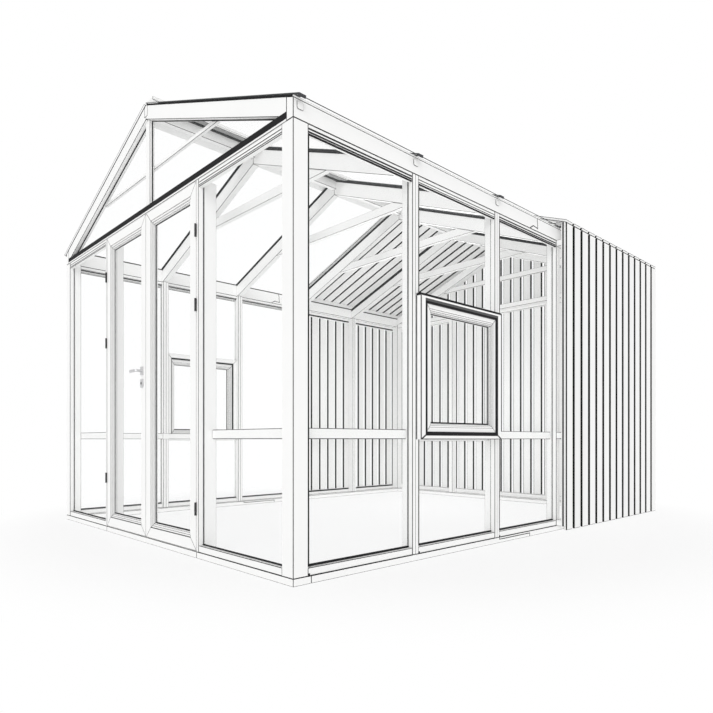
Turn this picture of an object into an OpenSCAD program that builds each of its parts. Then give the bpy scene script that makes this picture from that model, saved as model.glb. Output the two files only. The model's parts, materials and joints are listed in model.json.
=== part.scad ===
// Glass greenhouse with a board-clad store at the rear.
// +Z is up, the front gable with its two doors faces -Y, and the origin is the middle of the base.

/* [Frame] */
// Width of the frame across the front gable
frame_w = 3080; // [2900:20:3400]
// Distance from one wall post to the next
bay = 787; // [740:1:840]
// Number of glazed bays, from the front
glazed_bays = 3; // [2:1:4]
// Number of board-clad bays, at the rear
clad_bays = 2; // [1:1:3]
// Height of the top of the posts
post_top = 2100; // [2050:10:2300]
// Pitch of the roof in degrees
pitch = 21.2; // [18:0.2:26]
// Side of the square corner posts
corner_w = 86; // [80:2:100]
// Width of a wall post along its wall
post_w = 50; // [40:2:60]
// Depth of a wall post
post_d = 78; // [74:2:90]
// Height of the sill
sill_h = 36; // [28:2:50]
// Depth of the sill
sill_d = 104; // [100:2:130]
// Height of the outer face of the eaves beams
eaves_h = 90; // [80:1:100]
// Thickness of the eaves beams and rafters
beam_t = 50; // [40:2:60]
// Plumb depth of the rafters in the gables
gable_rafter_h = 90; // [84:1:96]
// Plumb depth of the rafters in the trusses
truss_rafter_h = 115; // [110:1:125]
// Height of the ridge beam below the rafter tops
ridge_h = 65; // [60:1:80]
// Thickness of the ridge beam
ridge_t = 40; // [36:1:50]
// Width of the king post in the front gable
king_w = 60; // [50:2:70]
// Height of the rails at waist level, above the ground
mid_z = 662; // [640:2:690]
// Height of a mid rail, face on
mid_h = 52; // [40:2:60]
// Thickness of a mid rail
mid_t = 26; // [20:1:30]
// Distance of the mid rails behind the outer face of the side walls
mid_in = 45; // [40:1:48]
// Height of the collar ties above the ground
collar_z = 2355; // [2340:5:2400]
// Height of a collar tie, face on
collar_h = 65; // [50:1:80]

/* [Glazing] */
// Thickness of the glass
glass_t = 4; // [3:0.5:6]
// Distance of the wall glass behind the outer face of the frame
glass_in = 30; // [26:1:34]
// Height of the rail under a wall pane
low_rail_h = 37; // [25:1:50]
// Height of the rail over a wall pane
top_rail_h = 25; // [20:1:40]
// Reach of the bead in front of a wall pane, below its top rail
bead_h = 19; // [12:1:26]
// Thickness of the seals between the rafters and the roof glass
seal_t = 8; // [6:1:12]
// Overhang of the roof glass at the eaves
glass_over = 30; // [20:1:45]
// Width of the glazing bars on the roof
bar_w = 40; // [32:1:46]
// Height of the glazing bars on the roof
bar_h = 6; // [5:1:16]

/* [Doors] */
// Width of one door leaf
door_w = 649; // [620:1:680]
// Thickness of a door leaf
door_t = 46; // [40:1:50]
// Width of the stiles and rails of a door
stile_w = 95; // [80:1:110]
// Gap between the two closed leaves
meet_gap = 10; // [10:1:14]
// Clearance round a closed leaf
door_gap = 5; // [5:0.5:8]
// Width of the front face of a door post
door_post_w = 20; // [16:1:26]
// Depth of a door post
door_post_d = 112; // [112:1:130]
// Height of a hinge
hinge_h = 72; // [60:2:90]
// Radius of a hinge knuckle
hinge_r = 5.5; // [5:0.5:7]
// Height of the lever handle above the ground
lever_z = 1100; // [1000:10:1200]
// Reach of the lever handle in front of the door
lever_out = 54; // [48:1:64]
// Length of the lever handle
lever_l = 100; // [90:2:135]

/* [Windows] */
// Height of the bottom of the side windows
window_z = 660; // [640:2:700]
// Height of a side window, over its frame
window_h = 781; // [700:1:900]
// Distance of a window frame's edge from the middle of its post
window_edge = 6; // [0:1:10]
// Face width of the uprights of the window frame
window_side = 41; // [36:1:50]
// Face height of the lower member of the window frame
window_low = 25; // [20:1:35]
// Face height of the upper member of the window frame
window_head = 10; // [8:1:25]
// Height of the drip seal over a window frame
drip_h = 14; // [10:1:18]
// Reach of the window frame in front of the wall
window_out = 35; // [25:1:45]
// Face width of the sash
sash_face = 47; // [40:1:60]
// Width of the seal beside the sash
seal_side = 13; // [10:1:16]
// Height of the seal below the sash
seal_low = 17; // [12:1:20]
// Height of the seal above the sash
seal_head = 26; // [20:1:30]

/* [Cladding] */
// Width of a board
board_w = 101; // [90:1:112]
// Thickness of a board
board_t = 20; // [16:1:30]
// Largest distance from one board to the next
board_pitch = 126; // [116:1:140]
// Thickness of the battens under the wall boards
batten_t = 50; // [46:1:55]
// Thickness of the battens under the roof boards
roof_batten_t = 50; // [40:1:60]
// Height of the bottom of the boards above the ground
board_z = 8; // [0:1:20]
// Gap between the edge trim of the cladding and the first board
trim_gap = 18; // [10:1:24]

/* [Hidden] */

// Frame
bays = glazed_bays + clad_bays;
frame_l = bays * bay + corner_w;
half_w = frame_w / 2;
inner_x = half_w - beam_t;
post_in_x = half_w - post_d;
slope_l = half_w / cos(pitch);
slit = 0.6;
ridge_z = post_top + eaves_h + (half_w - ridge_t / 2) * tan(pitch) - ridge_h;
collar_t = 40;
gable_tie_t = 20;
gable_tie_h = 24;
king_y = [12, 42];
rail_x = half_w - mid_in;
scarf_gap = 1.2;
splice_y = 2.5 * bay + corner_w / 2;
clad_out = batten_t + board_t;
front_y = (lever_out - frame_l - clad_out) / 2;

// Glazing
glass_x = half_w - glass_in - glass_t;
rail_out = 2;
rail_d = 50;
top_rail = [post_top - top_rail_h, post_top];
pane_z = [sill_h + low_rail_h, post_top - top_rail_h];
seal_band = 22;
header_h = 18;
header_d = 60;
band_z = [post_top + header_h, post_top + header_h + seal_band];
verge = 8;
bar_back = 4;
pane_gap = 6;
lug_drop = 8;
closer_t = 6;
clip_w = 38;
clip_h = 36;
clip_t = 4;
clip_z = post_top + eaves_h - clip_h - 11;
lug_t = 6;
cap_leg = 150;
cap_top = 47;
cap_rise = 48;
cap_side = 20;
cap_back = 23;
cap_t = 4;

// Doors
door_edge = meet_gap / 2 + door_w;
door_post_x = door_edge + door_gap;
stop_lap = 20;
hinge_x = door_edge + door_gap / 2;
hinge_y = -hinge_r - 1;
hinge_plate_t = 2;
hinge_plate_d = 26;
left_hinge_zs = [385, 0.642 * post_top, 0.867 * post_top];
right_hinge_zs = [274, 0.67 * post_top, 0.867 * post_top];
door_z = sill_h + door_gap + 1;
door_h = post_top - door_gap - door_z;
door_glass_y = 20;
lever_x = -(meet_gap + stile_w) / 2;
rose_w = 34;
rose_h = 56;
rose_t = 9;
key_drop = 80;
neck_r = 8;
spindle_r = 4;
grip_h = 20;
grip_t = 10;

// Windows
window_y = corner_w / 2 + bay;
window_w = bay - 2 * window_edge;
window_top = window_z + window_h + drip_h;
lining_w = bay - post_w;
lining_side = window_edge + window_side - post_w / 2;
opening_w = window_w - 2 * window_side;
opening_h = window_h - window_low - window_head;
sash_w = opening_w - 2 * seal_side;
sash_h = opening_h - seal_low - seal_head;
sash_front = window_out - 8;
seal_front = window_out - 14;
seal_back = 38;
drip_front = window_out - 4;

// Cladding
clad_y = corner_w / 2 + glazed_bays * bay - post_w / 2 - 6;
trim_t = 4;
trim_lap = 10;
board_y = clad_y + trim_gap;
side_span = frame_l + clad_out - board_y;
side_count = ceil((side_span - board_w) / board_pitch) + 1;
side_step = (side_span - board_w) / (side_count - 1);
back_half = half_w + batten_t;
back_count = 2 * ceil((2 * back_half - board_w) / board_pitch / 2 + 0.5);
back_step = (2 * back_half - board_w) / (back_count - 1);
batten_w = 45;
roof_gap = 1;
seat_gap = 0.3;

// A half outline on the other side of the middle, and an outline taken backwards
function mirrored(points) = [for (p = points) [-p[0], p[1]]];
function backwards(points) = [for (i = [len(points) - 1 : -1 : 0]) points[i]];
// Height of the rafter tops, and of their undersides, at a distance x from the middle
function roof_z(x) = post_top + eaves_h + (half_w - abs(x)) * tan(pitch);
function under_z(x, h) = roof_z(x) - h;
// Distance from the middle at which the undersides of rafters of depth h reach height z
function under_x(z, h) = half_w - (z - post_top - eaves_h + h) / tan(pitch);
// Middle of wall post i, from the front face, and the clear stretch of bay i
function post_y(i) = corner_w / 2 + i * bay;
function half_post(i) = (i == 0 || i == bays) ? corner_w / 2 : post_w / 2;
function bay_start(i) = post_y(i) + half_post(i);
function bay_end(i) = post_y(i + 1) - half_post(i + 1);
// Height of the underside of the roof boards
function clad_z(x) = roof_z(x) + roof_batten_t / cos(pitch);

// A stretch of length l from a, and one of width w about m
function span(a, l) = [a, a + l];
function about(m, w) = [m - w / 2, m + w / 2];
// Stretch of a strip of width w on the roof over rafter i: it ends at the joint with the boards
function roof_strip(i, w, front) = i == 0 ? span(front, w)
  : i == glazed_bays ? [post_y(i) - w / 2, post_y(i)] : about(post_y(i), w);

// Placing the front face of the frame
module in_place() {
  translate([0, front_y, 0]) children();
}

module both_sides() {
  children();
  mirror([1, 0, 0]) children();
}

// A box between two values on each axis
module block(x, y, z) {
  translate([x[0], y[0], z[0]]) cube([x[1] - x[0], y[1] - y[0], z[1] - z[0]]);
}

// An outline drawn in X and Z, or in Y and Z, made solid across the other axis
module across_y(points, y) {
  translate([0, y[1], 0]) rotate([90, 0, 0]) linear_extrude(y[1] - y[0]) polygon(points);
}

module across_x(points, x) {
  translate([x[0], 0, 0]) rotate([90, 0, 90]) linear_extrude(x[1] - x[0]) polygon(points);
}

// Left slope of the roof: X runs up the slope from the eaves, Z stands square on the rafters
module on_left_slope() {
  translate([-half_w, 0, post_top + eaves_h]) rotate([0, -pitch, 0]) children();
}

// A rafter of the right slope with depth h, that meets the other one below the ridge beam. It is
// cut level at height z where it would reach below that.
module rafter(y, h, z) {
  x = ridge_t / 2;
  foot = under_z(inner_x, h);
  seat = z > foot ? [[under_x(z, h), z], [inner_x, z]] : [[inner_x, foot]];
  across_y(concat(seat, [[inner_x, roof_z(inner_x)], [x, roof_z(x)], [x, ridge_z], [slit, ridge_z],
    [slit, under_z(slit, h)]]), y);
}

// A tie between the rafters of depth h, from height z[0] to z[1]
module tie(y, h, z) {
  x = [under_x(z[0], h) - seat_gap, under_x(z[1], h) - seat_gap];
  across_y([[-x[0], z[0]], [x[0], z[0]], [x[1], z[1]], [-x[1], z[1]]], y);
}

// A frame of four mitred members, in X and Z, with its back at Y = t
module mitred_frame(w, h, side, low, head, t) {
  g = slit / 2;
  stile = [[0, g], [side, low + g], [side, h - head - g], [0, h - g]];
  across_y([[g, 0], [w - g, 0], [w - side - g, low], [side + g, low]], [0, t]);
  across_y([[g, h], [w - g, h], [w - side - g, h - head], [side + g, h - head]], [0, t]);
  across_y(stile, [0, t]);
  across_y([for (p = stile) [w - p[0], p[1]]], [0, t]);
}

// The same on the right wall: from y and z on, with its front at x
module wall_frame(x, y, z, w, h, side, low, head, t) {
  translate([x, y, z]) rotate([0, 0, 90]) mitred_frame(w, h, side, low, head, t);
}

// The slit of a hooked scarf joint in the eaves beam on the right side
module scarf_slit() {
  h = eaves_h;
  line = [[1.05 * h, h + beam_t], [1.2 * h, 0.22 * h], [0.55 * h, 0.3 * h], [-0.23 * h, -0.15 * h]];
  back = [for (i = [3 : -1 : 0]) line[i] + [-scarf_gap, scarf_gap]];
  translate([0, splice_y, post_top]) across_x(concat(line, back), [inner_x - 1, half_w + 1]);
}

// The slit of a half lap joint in the sill on the right side
module lap_slit() {
  x = [half_w - sill_d - 1, half_w + 1];
  y = [bay_start(2), splice_y];
  z = 0.62 * sill_h;
  block(x, span(y[1], scarf_gap), [-1, z]);
  block(x, [y[0], y[1] + scarf_gap], span(z, scarf_gap));
  block(x, span(y[0], scarf_gap), [z, sill_h + 1]);
}

// Sills
module front_sill() {
  color("white") in_place() {
    block([-door_post_x + slit, door_post_x - slit], [0, sill_d], [0, sill_h]);
    both_sides() block([door_post_x, half_w], [0, sill_d], [0, sill_h]);
  }
}

module back_sill() {
  color("white") in_place() block([-half_w, half_w], [frame_l - sill_d, frame_l], [0, sill_h]);
}

module side_sills() {
  color("white") in_place() both_sides() difference() {
    block([half_w - sill_d, half_w], [sill_d, frame_l - sill_d], [0, sill_h]);
    lap_slit();
  }
}

// Posts
module corner_posts() {
  color("white") in_place() both_sides() for (y = [0, frame_l - corner_w])
    block([half_w - corner_w, half_w], [y, y + corner_w], [sill_h, post_top]);
}

module wall_posts() {
  color("white") in_place() both_sides() for (i = [1 : bays - 1])
    block([post_in_x, half_w], about(post_y(i), post_w), [sill_h, post_top]);
}

// Each door post is rebated, so that the closed leaf stands in front of its stop
module door_posts() {
  color("white") in_place() both_sides() {
    block([door_post_x, door_post_x + door_post_w], [0, door_post_d], [sill_h, post_top]);
    block([door_post_x - stop_lap, door_post_x + 1], [door_t + door_gap, door_post_d],
      [sill_h, post_top]);
  }
}

module back_posts() {
  color("white") in_place() both_sides()
    block([frame_w / 5 - post_w / 2, frame_w / 5 + post_w / 2], [frame_l - post_d, frame_l],
      [sill_h, post_top - 20]);
}

// Beams over the posts
module front_header() {
  color("white") in_place()
    block([-inner_x, inner_x], [0, header_d], [post_top, post_top + header_h]);
}

module eaves_beams() {
  color("white") in_place() both_sides() difference() {
    across_y([[inner_x, post_top], [half_w, post_top], [half_w, roof_z(half_w)],
      [inner_x, roof_z(inner_x)]], [0, frame_l]);
    scarf_slit();
  }
}

// Back wall: a rail at waist height between the posts, one at the eaves and one in the gable
module back_rails() {
  y = [frame_l - mid_t, frame_l];
  color("white") in_place() {
    block([-frame_w / 5 + post_w / 2, frame_w / 5 - post_w / 2], y, [mid_z, mid_z + mid_h]);
    both_sides()
      block([frame_w / 5 + post_w / 2, half_w - corner_w], y, [mid_z, mid_z + mid_h]);
    block([corner_w - half_w, half_w - corner_w], [frame_l - post_d, frame_l], span(post_top - 20, 50));
    tie(y, gable_rafter_h, span(collar_z + 45, 55));
  }
}

// Roof timbers
module end_rafters() {
  color("white") in_place() both_sides() {
    rafter([0, beam_t], gable_rafter_h, band_z[1]);
    rafter([frame_l - beam_t, frame_l], gable_rafter_h, post_top);
  }
}

module king_post() {
  x = king_w / 2;
  z = under_z(x, gable_rafter_h);
  color("white") in_place()
    across_y([[-x, band_z[1]], [x, band_z[1]], [x, z], [0, z + x * tan(pitch)], [-x, z]], king_y);
}

module truss_rafters() {
  color("white") in_place() both_sides() for (i = [1 : bays - 1])
    rafter(about(post_y(i), beam_t), truss_rafter_h, post_top);
}

// Ties in the trusses, and a slim one behind the king post in the front gable
module collar_ties() {
  color("white") in_place() {
    for (i = [1 : bays - 1])
      tie(about(post_y(i), collar_t), truss_rafter_h, span(collar_z, collar_h));
    tie(span(king_y[1] + slit, gable_tie_t), gable_rafter_h, span(collar_z + 27, gable_tie_h));
  }
}

module ridge_beam() {
  x = ridge_t / 2;
  color("white") in_place()
    across_y([[-x, ridge_z], [x, ridge_z], [x, roof_z(x)], [0, roof_z(0)], [-x, roof_z(x)]],
      [0, frame_l]);
}

// Rails at waist height, on the inner side of the posts
module mid_rails() {
  z = [mid_z, mid_z + mid_h];
  color("white") in_place() both_sides() {
    block([door_post_x + door_post_w, rail_x - mid_t - slit], [door_post_d - mid_t, door_post_d], z);
    for (i = [0 : bays - 1])
      block([rail_x - mid_t, rail_x], [bay_start(i), bay_end(i)], z);
  }
}

// Rails that hold the panes: one on the sill, and one under the eaves with a bead in front of the
// glass. They run along X from x[0] to x[1].
module pane_rails(x) {
  block(x, span(rail_out, rail_d), [sill_h, pane_z[0]]);
  block(x, span(rail_out, rail_d), top_rail);
  block(x, [rail_out, glass_in], [top_rail[0] - bead_h, top_rail[0] + 1]);
}

module glazing_rails() {
  color("white") in_place() both_sides() {
    pane_rails([door_post_x + door_post_w, half_w - corner_w]);
    for (i = [0 : glazed_bays - 1])
      translate([half_w, 0, 0]) rotate([0, 0, 90]) pane_rails([bay_start(i), bay_end(i)]);
  }
}

// Glass of the side walls: whole panes, and short ones under and over the window
module side_glass() {
  x = [glass_x, glass_x + glass_t];
  color("lightcyan", 0.4) in_place() both_sides() for (i = [0 : glazed_bays - 1]) {
    y = [bay_start(i), bay_end(i)];
    if (i == 1) {
      block(x, y, [pane_z[0], window_z]);
      block(x, y, [window_top, pane_z[1]]);
    } else {
      block(x, y, pane_z);
    }
  }
}

module front_glass() {
  color("lightcyan", 0.4) in_place() both_sides()
    block([door_post_x + door_post_w, half_w - corner_w], span(glass_in, glass_t), pane_z);
}

module gable_glass() {
  x = king_w / 2;
  color("lightcyan", 0.4) in_place() both_sides()
    across_y([[x, band_z[1]], [under_x(band_z[1] + seat_gap, gable_rafter_h), band_z[1]],
      [x, under_z(x, gable_rafter_h) - seat_gap]], span(glass_in, glass_t));
}

// Seals: a band over the front header, strips on the rafters, and rings round the sashes with a
// drip strip over each window frame
module seals() {
  color("black") in_place() {
    block([-inner_x, inner_x], [6, beam_t], band_z);
    both_sides() on_left_slope() roof_strips();
    both_sides() window_seals();
  }
}

module roof_strips() {
  eaves = [closer_t, beam_t / cos(pitch)];
  ridge = [slope_l - 60, slope_l - 6];
  z = [seat_gap, seal_t];
  for (i = [0 : glazed_bays]) {
    y = roof_strip(i, beam_t, 0);
    block([closer_t, slope_l - 6], y, z);
    if (i < glazed_bays) {
      gap = [y[1] + slit, roof_strip(i + 1, beam_t, 0)[0] - slit];
      block(eaves, gap, z);
      block(ridge, gap, z);
    }
  }
}

module window_seals() {
  y = window_y + window_edge;
  wall_frame(half_w + seal_front, y + window_side, window_z + window_low, opening_w, opening_h,
    seal_side, seal_low, seal_head, seal_front + seal_back);
  block([half_w, half_w + drip_front], span(y, window_w), [window_z + window_h, window_top]);
}

module roof_glass() {
  color("lightcyan", 0.4) in_place() both_sides() on_left_slope() for (i = [0 : glazed_bays - 1])
    block([-glass_over, slope_l - 8],
      [i == 0 ? -verge : post_y(i) + pane_gap / 2, post_y(i + 1) - pane_gap / 2],
      [seal_t, seal_t + glass_t]);
}

// Each bar ends in a lug that hooks over the lower edge of the glass
module roof_bars() {
  z = seal_t + glass_t;
  color("dimgray") in_place() both_sides() on_left_slope() for (i = [0 : glazed_bays]) {
    y = roof_strip(i, bar_w, bar_back);
    block([-glass_over - lug_t, slope_l - cap_leg / cos(pitch)], y, [z, z + bar_h]);
    block([-glass_over - lug_t, -glass_over], y, [z - lug_drop, z + 1]);
  }
}

// The cap stands on the glass: a flat top, upright sides, sloping legs and a closed front end
module ridge_cap() {
  foot = roof_z(cap_leg) + (seal_t + glass_t + seat_gap) / cos(pitch);
  top = roof_z(0) + cap_rise;
  outer = [[cap_leg, foot + cap_t], [cap_top, top - cap_side], [cap_top, top]];
  inner = [[cap_leg, foot], [cap_top - cap_t, top - cap_side - cap_t / 2], [cap_top - cap_t, top - cap_t]];
  color("whitesmoke") in_place() {
    across_y(concat(mirrored(outer), backwards(outer), inner, backwards(mirrored(inner))),
      [cap_back, board_y - slit]);
    across_y(concat(mirrored(outer), backwards(outer), [[cap_leg, foot], [0, foot + cap_leg * tan(pitch)],
      [-cap_leg, foot]]), [cap_back, cap_back + cap_t]);
  }
}

// Side windows: a lining between the posts, a frame on the posts, and the sash in its seal
module window_linings() {
  color("white") in_place() both_sides()
    wall_frame(half_w, window_y + post_w / 2, window_z, lining_w, window_h + drip_h, lining_side,
      window_low, window_head + drip_h, mid_in);
}

module window_frames() {
  color("white") in_place() both_sides()
    wall_frame(half_w + window_out, window_y + window_edge, window_z, window_w, window_h, window_side,
      window_low, window_head, window_out);
}

module window_sashes() {
  color("white") in_place() both_sides()
    wall_frame(half_w + sash_front, window_y + (bay - sash_w) / 2, window_z + window_low + seal_low,
      sash_w, sash_h, sash_face, sash_face, sash_face, sash_front + glass_in);
}

module window_glass() {
  z = window_z + window_low + seal_low + sash_face;
  color("lightcyan", 0.4) in_place() both_sides()
    block([half_w, half_w + glass_t], about(window_y + bay / 2, sash_w - 2 * sash_face),
      span(z, sash_h - 2 * sash_face));
}

// Trims: closers under the eaves of the roof glass, clips on the eaves beams, and a strip on the
// front ends of the wall battens
module edge_trims() {
  color("white") in_place() {
    both_sides() on_left_slope()
      block([0, closer_t - slit], [0, post_y(glazed_bays)], [0, seal_t]);
    both_sides() {
      for (i = [0 : glazed_bays - 1])
        block(span(half_w, clip_t), about(i == 0 ? clip_w : post_y(i), clip_w), span(clip_z, clip_h));
      block([half_w + batten_t - trim_lap, half_w + clad_out], span(clad_y, trim_t),
        [sill_h, clad_z(half_w + clad_out) - seat_gap]);
    }
  }
}

// Battens on the outside of the clad walls, and along the back rafters
module wall_battens() {
  zs = [sill_h, mid_z + mid_h / 2 - batten_w / 2, post_top - batten_w];
  y = span(frame_l, batten_t);
  color("white") in_place() {
    for (z = zs) {
      both_sides()
        block(span(half_w, batten_t), [clad_y + trim_t, frame_l + batten_t], [z, z + batten_w]);
      block([slit - half_w, half_w - slit], y, [z, z + batten_w]);
    }
    both_sides() across_y([[half_w, post_top + 1], [half_w, roof_z(half_w)], [1, roof_z(1)],
      [1, under_z(1, gable_rafter_h) + 20], [half_w - 40, post_top + 1]], y);
  }
}

module roof_battens() {
  y = [post_y(glazed_bays) + beam_t / 2, frame_l + batten_t];
  z = [0, roof_batten_t - seat_gap];
  color("white") in_place() both_sides() on_left_slope() {
    block([4, 4 + batten_w], y, z);
    block([slope_l - 100, slope_l - 100 + batten_w], y, z);
  }
}

// Boards with open joints
module side_wall_boards() {
  for (i = [0 : side_count - 1])
    block(span(half_w + batten_t, board_t), span(board_y + i * side_step, board_w),
      [board_z, clad_z(half_w + clad_out) - seat_gap]);
}

module side_roof_boards() {
  end_x = half_w + clad_out - board_t * sin(pitch);
  top = board_t / cos(pitch);
  end_z = clad_z(0) - end_x * tan(pitch);
  for (i = [0 : side_count - 1])
    across_y([[roof_gap, clad_z(roof_gap)], [end_x, end_z],
      [end_x + board_t * sin(pitch), end_z + board_t * cos(pitch)],
      [roof_gap, clad_z(roof_gap) + top]], span(board_y + i * side_step, board_w));
}

module right_boards() {
  color("whitesmoke") in_place() side_wall_boards();
}

module left_boards() {
  color("whitesmoke") in_place() mirror([1, 0, 0]) side_wall_boards();
}

module back_boards() {
  color("whitesmoke") in_place() for (i = [0 : back_count - 1]) {
    x = span(i * back_step - back_half, board_w);
    across_y([[x[0], board_z], [x[1], board_z], [x[1], clad_z(x[1]) - seat_gap],
      [x[0], clad_z(x[0]) - seat_gap]], span(frame_l + batten_t, board_t));
  }
}

module right_roof_boards() {
  color("whitesmoke") in_place() side_roof_boards();
}

module left_roof_boards() {
  color("whitesmoke") in_place() mirror([1, 0, 0]) side_roof_boards();
}

// Lift-off hinges: the lower knuckle and its pin stand on the post, the upper one on the leaf
module post_hinges(zs) {
  half_h = hinge_h / 2 - slit;
  for (z = zs) translate([hinge_x, 0, z - hinge_h / 2]) {
    translate([0, hinge_y, 0]) cylinder(r = hinge_r, h = half_h, $fn = 48);
    translate([0, hinge_y, 0]) cylinder(r = hinge_r / 2, h = hinge_h - 6, $fn = 48);
    block([door_gap / 2 - hinge_plate_t, door_gap / 2], [hinge_y, hinge_plate_d], [0, half_h]);
  }
}

module frame_hinges() {
  color("black") in_place() {
    post_hinges(right_hinge_zs);
    mirror([1, 0, 0]) post_hinges(left_hinge_zs);
  }
}

// Hinge parts of the right leaf
module leaf_hinges(zs) {
  for (z = zs) translate([hinge_x, 0, z]) difference() {
    union() {
      translate([0, hinge_y, 0]) cylinder(r = hinge_r, h = hinge_h / 2, $fn = 48);
      block([-door_gap / 2, hinge_plate_t - door_gap / 2], [hinge_y, hinge_plate_d], [0, hinge_h / 2]);
    }
    translate([0, hinge_y, -1]) cylinder(r = hinge_r / 2 + 0.3, h = hinge_h / 2 - 4, $fn = 48);
  }
}

// Frame and pane of the right leaf
module leaf_frame() {
  translate([meet_gap / 2, 0, door_z]) mitred_frame(door_w, door_h, stile_w, stile_w, stile_w, door_t);
}

module leaf_glass() {
  block([meet_gap / 2 + stile_w, door_edge - stile_w], span(door_glass_y, glass_t),
    [door_z + stile_w, door_z + door_h - stile_w]);
}

module left_door_frame() {
  color("white") in_place() difference() {
    mirror([1, 0, 0]) leaf_frame();
    translate([lever_x, -1, lever_z]) rotate([-90, 0, 0]) cylinder(r = spindle_r + 2, h = door_t + 2, $fn = 48);
  }
}

module left_door_glass() {
  color("lightcyan", 0.4) in_place() mirror([1, 0, 0]) leaf_glass();
}

module left_door_hinges() {
  color("black") in_place() mirror([1, 0, 0]) leaf_hinges(left_hinge_zs);
}

module right_door_frame() {
  color("white") in_place() leaf_frame();
}

module right_door_glass() {
  color("lightcyan", 0.4) in_place() leaf_glass();
}

module right_door_hinges() {
  color("black") in_place() leaf_hinges(right_hinge_zs);
}

// Plates on both faces of the left leaf: a rose for the lever and one for the key
module handle_plates() {
  x = about(lever_x, rose_w);
  color("silver") in_place() for (y = [[-rose_t, 0], [door_t, door_t + rose_t]]) {
    difference() {
      block(x, y, about(lever_z, rose_h));
      translate([lever_x, y[0] - 1, lever_z]) rotate([-90, 0, 0])
        cylinder(r = neck_r + 1, h = rose_t + 2, $fn = 48);
    }
    block(x, y, about(lever_z - key_drop, rose_h));
  }
}

// A lever on each face of the leaf, on one spindle
module lever() {
  reach = lever_out - grip_t / 2;
  color("silver") in_place() translate([lever_x, 0, lever_z]) {
    translate([0, -reach, 0]) rotate([-90, 0, 0])
      cylinder(r = spindle_r, h = door_t + 2 * reach, $fn = 48);
    for (y = [-reach, door_t + 1]) translate([0, y, 0]) rotate([-90, 0, 0])
      cylinder(r = neck_r, h = reach - 1, $fn = 48);
    for (y = [-lever_out, door_t + reach - grip_t / 2])
      block([grip_h / 2 - lever_l, grip_h / 2], [y, y + grip_t], about(0, grip_h));
  }
}

front_sill();
back_sill();
side_sills();
corner_posts();
wall_posts();
door_posts();
back_posts();
front_header();
eaves_beams();
back_rails();
end_rafters();
king_post();
truss_rafters();
collar_ties();
ridge_beam();
mid_rails();
glazing_rails();
side_glass();
front_glass();
gable_glass();
seals();
roof_glass();
roof_bars();
ridge_cap();
window_linings();
window_frames();
window_sashes();
window_glass();
edge_trims();
wall_battens();
roof_battens();
right_boards();
left_boards();
back_boards();
right_roof_boards();
left_roof_boards();
frame_hinges();
left_door_frame();
left_door_glass();
left_door_hinges();
handle_plates();
lever();
right_door_frame();
right_door_glass();
right_door_hinges();
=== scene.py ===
import json
import math

import bmesh
import bpy
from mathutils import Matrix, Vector


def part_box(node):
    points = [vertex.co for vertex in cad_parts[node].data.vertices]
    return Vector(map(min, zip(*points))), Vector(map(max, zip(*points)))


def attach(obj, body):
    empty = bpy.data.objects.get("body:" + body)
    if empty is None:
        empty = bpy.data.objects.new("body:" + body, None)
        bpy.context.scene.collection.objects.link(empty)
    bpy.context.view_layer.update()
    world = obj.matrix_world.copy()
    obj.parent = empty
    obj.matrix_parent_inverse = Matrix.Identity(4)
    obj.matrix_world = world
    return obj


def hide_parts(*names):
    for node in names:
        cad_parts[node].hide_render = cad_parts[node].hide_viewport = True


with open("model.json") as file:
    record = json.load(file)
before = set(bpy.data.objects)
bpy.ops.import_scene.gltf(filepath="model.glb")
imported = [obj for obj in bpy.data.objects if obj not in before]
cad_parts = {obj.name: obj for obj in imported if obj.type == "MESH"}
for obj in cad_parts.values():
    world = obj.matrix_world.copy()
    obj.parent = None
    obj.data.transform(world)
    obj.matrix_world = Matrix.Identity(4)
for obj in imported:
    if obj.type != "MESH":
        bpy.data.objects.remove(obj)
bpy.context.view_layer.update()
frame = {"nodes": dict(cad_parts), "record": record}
print("frame loaded:", len(frame["nodes"]), "nodes")


# wraps one shader socket, so that sums on values read as plain sums
class Wire:
    def __init__(self, tree, socket=None):
        self.tree = tree
        self.socket = socket

    def add(self, kind, settings=None, sockets=None, out=0):
        made = self.tree.nodes.new(kind)
        for name, value in (settings or {}).items():
            setattr(made, name, value)
        for name, value in (sockets or {}).items():
            if isinstance(value, Wire):
                self.tree.links.new(value.socket, made.inputs[name])
            else:
                made.inputs[name].default_value = value
        return Wire(self.tree, made.outputs[out]) if made.outputs else made

    def sum(self, operation, first, second):
        return self.add("ShaderNodeMath", {"operation": operation}, {0: first, 1: second})

    def __add__(self, other):
        return self.sum("ADD", self, other)

    def __radd__(self, other):
        return self.sum("ADD", other, self)

    def __mul__(self, other):
        return self.sum("MULTIPLY", self, other)

    def __rmul__(self, other):
        return self.sum("MULTIPLY", other, self)

    def __truediv__(self, other):
        return self.sum("DIVIDE", self, other)

    def __rtruediv__(self, other):
        return self.sum("DIVIDE", other, self)


def newMaterial(name):
    material = bpy.data.materials.new(name)
    material.use_nodes = True
    material.node_tree.nodes.clear()
    start = Wire(material.node_tree)
    place = start.add("ShaderNodeTexCoord", out="Object")
    return material, start, place


def closeMaterial(start, shader):
    start.add("ShaderNodeOutputMaterial", None, {"Surface": shader})


def surface(start, sockets):
    closeMaterial(start, start.add("ShaderNodeBsdfPrincipled", None, sockets))


def tint(start, mask, dark, light):  # a colour between two, by a mask from 0 to 1
    return start.add("ShaderNodeMix", {"data_type": "RGBA"},
                     {0: mask, 6: (*dark, 1.0), 7: (*light, 1.0)}, out=2)


def noise(start, place, size, detail=2.0, stretch=(1, 1, 1)):
    scaled = start.add("ShaderNodeMapping", None, {"Vector": place, "Scale": stretch})
    return start.add("ShaderNodeTexNoise", None, {"Vector": scaled, "Scale": 1 / size, "Detail": detail})


def bump(start, height, strength, depth):
    return start.add("ShaderNodeBump", None, {"Height": height, "Strength": strength, "Distance": depth})


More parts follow.
